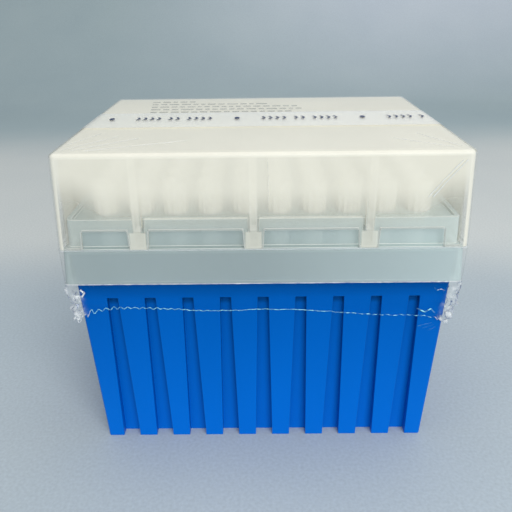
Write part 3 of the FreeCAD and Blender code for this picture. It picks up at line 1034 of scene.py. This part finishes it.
def fill_lines(bm):
    """Rows of plain bars on the lid's top, as long and as low as lines of small marks."""
    level = LID_TOP + 0.06 * MM
    half_height, space = 0.9, 1.0
    for row, end in enumerate((-27.0, 2.0, 15.0, 16.5, 11.0)):
        left, middle = -44.0 + 0.6 * row, 36.5 - 5.4 * row
        while left < end:
            right = left + 1.6 + 4.0 * abs(noise.noise(Vector((left, row, 0.5))))
            low, high = middle - half_height, middle + half_height
            corners = ((left, low), (right, low), (right, high), (left, high))
            bm.faces.new([bm.verts.new((x * MM, y * MM, level)) for x, y in corners])
            left = right + space


# ---- operators

class TIPBOX_OT_mouldings(bpy.types.Operator):
    """Build the base, the rack and the lid from their solids, with softened edges"""

    bl_idname = "tipbox.mouldings"
    bl_label = "Mouldings"
    bl_options = {"REGISTER", "UNDO"}

    def execute(self, context):
        sizes = context.scene.tipbox_mouldings
        blue = moulding_material(
            "Blue Moulding", sizes.base_colour, roughness=(0.4, 0.55), relief=0.25, shade=0.86,
            constants={"IOR": 1.49, "Specular IOR Level": 0.2, "Specular Tint": (0.0, 0.5, 1.0, 1.0)})
        # Painted shade on the base's plastic, darker near the skirt and in the flutes.
        recolour(blue, base_painted_shade)
        frosted = milky_material(
            "Frosted Moulding", sizes.lid_colour, sizes, lambda tree: lid_cover(tree, sizes),
            {"Half Length": LID_BOX[1].x, "Half Depth": LID_BOX[1].y, "Foot": LEDGE,
             "Ceiling": LID_TOP - sizes.wall, "Lean": LID_LEAN, "Wall": sizes.wall})
        skirt = reach("rack", LEDGE - MM)
        clear = milky_material(
            "Clear Moulding", sizes.rack_colour, sizes, lambda tree: sizes.rack_cover,
            {"Half Length": skirt.x, "Half Depth": skirt.y, "Foot": LEDGE,
             "Ceiling": LEDGE - sizes.wall, "Lean": -SKIRT_LEAN, "Wall": sizes.wall})
        # Painted light on the rack's plastic, lighter towards +X and over the ledge.
        recolour(clear, rack_painted_light)
        rim = edge_material("Bright Rim", (0.66, 0.68, 0.63))
        edge = edge_material("Bright Edge", (0.46, 0.47, 0.44))
        for node, materials, slot, rounding in (
            ("base", [blue], "blue_moulding", 1.0), ("rack", [clear, rim], "clear_moulding", 1.6),
            ("lid", [frosted, edge], "frosted_moulding", 1.0),
        ):
            piece = add_piece(f"{node}_moulding", materials, slot, [node], fill_moulding, node)
            for face in piece.data.polygons:
                face.material_index = int(len(materials) > 1 and is_thick(node, face.center, sizes.wall))
            # The rounds of the rack and the lid take the bright material, a painted glow along their edges.
            soften_edges(piece, sizes.edge * rounding, len(materials) - 1)
        marks, _ = mottled_material(
            "Raised Marks", (0.3, 0.33, 0.33), 0.8, {"Roughness": 0.4, "Alpha": 0.4}, flow=300.0)
        add_piece("lid_lines", [marks], "frosted_moulding", (), fill_lines)
        return {"FINISHED"}


def is_thick(node, place, wall):
    """True for the feet of the lid's stops and for the deck's front rim, which get the bright material with
    its painted glow.
    """
    if node == "rack":
        rim = RIM - 0.1 * MM
        return place.z > rim and place.y < wall - reach("rack", rim).y
    inside = abs(place.y) < reach("lid", place.z).y - wall - 0.3 * MM
    return inside and place.z < LEDGE + 6 * MM and abs(place.x) < STOPS_END


class TIPBOX_OT_tips(bpy.types.Operator):
    """Stand a round tip in each hole of the deck"""

    bl_idname = "tipbox.tips"
    bl_label = "Tips"
    bl_options = {"REGISTER", "UNDO"}

    def execute(self, context):
        sizes = context.scene.tipbox_tips
        natural = moulding_material(
            "Natural Tips", sizes.colour, roughness=(0.3, 0.4), relief=0.08, shade=0.95,
            constants={
                "IOR": 1.47, "Subsurface Weight": 0.6, "Subsurface Radius": (1.0, 1.0, 0.9),
                "Subsurface Scale": 1.2 * MM, "Transmission Weight": 0.15})
        first, second = (sum(corner.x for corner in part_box(node)) / 2 for node in TIP_COLUMNS[:2])
        for node in TIP_COLUMNS:
            centres = column_centres(node, second - first)
            name = node.replace("tip_column", "tips")
            add_piece(name, [natural], "natural_tip", [node], fill_tips, centres, sizes)
        return {"FINISHED"}


class TIPBOX_OT_film(bpy.types.Operator):
    """Wrap the lid and the rack in shrink film"""

    bl_idname = "tipbox.film"
    bl_label = "Shrink film"
    bl_options = {"REGISTER", "UNDO"}

    def execute(self, context):
        film = context.scene.tipbox_film
        add_piece("film_wrap", [film_material()], "clear_film", ["shrink_film"], fill_film, film)
        return {"FINISHED"}


class TIPBOX_OT_tape(bpy.types.Operator):
    """Lay the printed tear tape over the film"""

    bl_idname = "tipbox.tape"
    bl_label = "Tear tape"
    bl_options = {"REGISTER", "UNDO"}

    def execute(self, context):
        film = context.scene.tipbox_film
        add_piece("tape_band", [tape_material()], "white_tape", ["tear_tape"], fill_tape, film)
        ink, _ = mottled_material("Navy Ink", film.print_colour, 0.7, {"Roughness": 0.35}, flow=300.0)
        add_piece("tape_print", [ink], "white_tape", (), fill_print, film)
        return {"FINISHED"}


class TIPBOX_OT_stage(bpy.types.Operator):
    """Set the paper sweep, the softboxes and the camera"""

    bl_idname = "tipbox.stage"
    bl_label = "Stage"
    bl_options = {"REGISTER", "UNDO"}

    def execute(self, context):
        stage = context.scene.tipbox_stage
        sweep = link_object("sweep", [paper_material(stage)], fill_sweep)
        add_lights(context.scene, stage)
        add_camera(context.scene, stage)
        return {"FINISHED"}


def fill_sweep(bm):
    """A floor that bends up behind the box into a back wall."""
    near, bend, radius, top, half, parts = -1.2, 0.55, 0.45, 1.6, 2.0, 24
    angles = [math.pi / 2 * i / parts for i in range(1, parts + 1)]
    profile = [
        (near, 0.0), (bend, 0.0),
        *((bend + radius * math.sin(angle), radius * (1 - math.cos(angle))) for angle in angles),
        (bend + radius, top)]
    rings = [[bm.verts.new((x, y, z)) for x in (-half, half)] for y, z in profile]
    loop_faces(bm, rings, closed=False)
    bmesh.ops.recalc_face_normals(bm, faces=bm.faces)
    smooth_faces(bm)


# Each softbox's place and width in metres, and its share of the stage's light.
LAMPS = {
    "overhead": ((0.1, 0.1, 0.95), 0.7, 0.3),
    "front": ((0.25, -0.8, 0.6), 0.7, 1.0),
}
LIT_PLACE = Vector((0, 0, 0.06))


def add_lights(scene, stage):
    """A cool even light all round, and the softboxes, which face the box."""
    world = bpy.data.worlds.new("Studio")
    world.use_nodes = True
    background = world.node_tree.nodes["Background"]
    background.inputs["Color"].default_value = (0.86, 0.92, 1.0, 1.0)
    background.inputs["Strength"].default_value = 0.5
    scene.world = world
    for name, (place, width, share) in LAMPS.items():
        lamp = bpy.data.lights.new(name, "AREA")
        lamp.shape = "SQUARE"
        lamp.size = width
        lamp.energy = stage.light * share
        light = bpy.data.objects.new(name, lamp)
        scene.collection.objects.link(light)
        light.location = place
        light.rotation_euler = (LIT_PLACE - Vector(place)).to_track_quat("-Z", "Y").to_euler()


def add_camera(scene, stage):
    """A camera in front of the box, which looks down on it."""
    scene.view_settings.view_transform = "Standard"
    lens = bpy.data.cameras.new("camera")
    lens.lens = stage.lens
    lens.sensor_width = 36.0
    lens.clip_start = 10 * MM
    camera = bpy.data.objects.new("camera", lens)
    scene.collection.objects.link(camera)
    camera.location = stage.eye
    level = Euler((math.pi / 2 - stage.pitch, 0.0, stage.yaw), "XYZ").to_matrix()
    camera.rotation_euler = (level @ Matrix.Rotation(-stage.roll, 3, "Z")).to_euler()
    scene.camera = camera


# ---- panel

class TIPBOX_PT_sidebar(bpy.types.Panel):
    """The box's sizes and colours, and what builds from them"""

    bl_idname = "TIPBOX_PT_sidebar"
    bl_label = "Pipette Tip Box"
    bl_space_type = "VIEW_3D"
    bl_region_type = "UI"
    bl_category = "Tip Box"

    def draw(self, context):
        for holder, (_, *operators) in SECTIONS.items():
            box = self.layout.box()
            group = getattr(context.scene, holder)
            for field in group.bl_rna.properties:
                if field.identifier not in {"rna_type", "name"}:
                    box.prop(group, field.identifier)
            for operator in operators:
                box.operator(operator.bl_idname)


# Where each group of properties is held, and the operators that build from it.
SECTIONS = {
    "tipbox_mouldings": (TipBoxMouldings, TIPBOX_OT_mouldings),
    "tipbox_tips": (TipBoxTips, TIPBOX_OT_tips),
    "tipbox_film": (TipBoxFilm, TIPBOX_OT_film, TIPBOX_OT_tape),
    "tipbox_stage": (TipBoxStage, TIPBOX_OT_stage),
}
CLASSES = (*(cls for section in SECTIONS.values() for cls in section), TIPBOX_PT_sidebar)


def register():
    """Makes the classes and the scene's properties known."""
    for cls in CLASSES:
        bpy.utils.register_class(cls)
    for holder, (group, *_) in SECTIONS.items():
        setattr(bpy.types.Scene, holder, PointerProperty(type=group))


def unregister():
    """Takes them away again."""
    for holder in SECTIONS:
        delattr(bpy.types.Scene, holder)
    for cls in reversed(CLASSES):
        bpy.utils.unregister_class(cls)


def main():
    """Builds the box and its stage."""
    register()
    bpy.ops.tipbox.mouldings()
    bpy.ops.tipbox.tips()
    bpy.ops.tipbox.film()
    bpy.ops.tipbox.tape()
    bpy.ops.tipbox.stage()


if __name__ == "__main__":
    main()
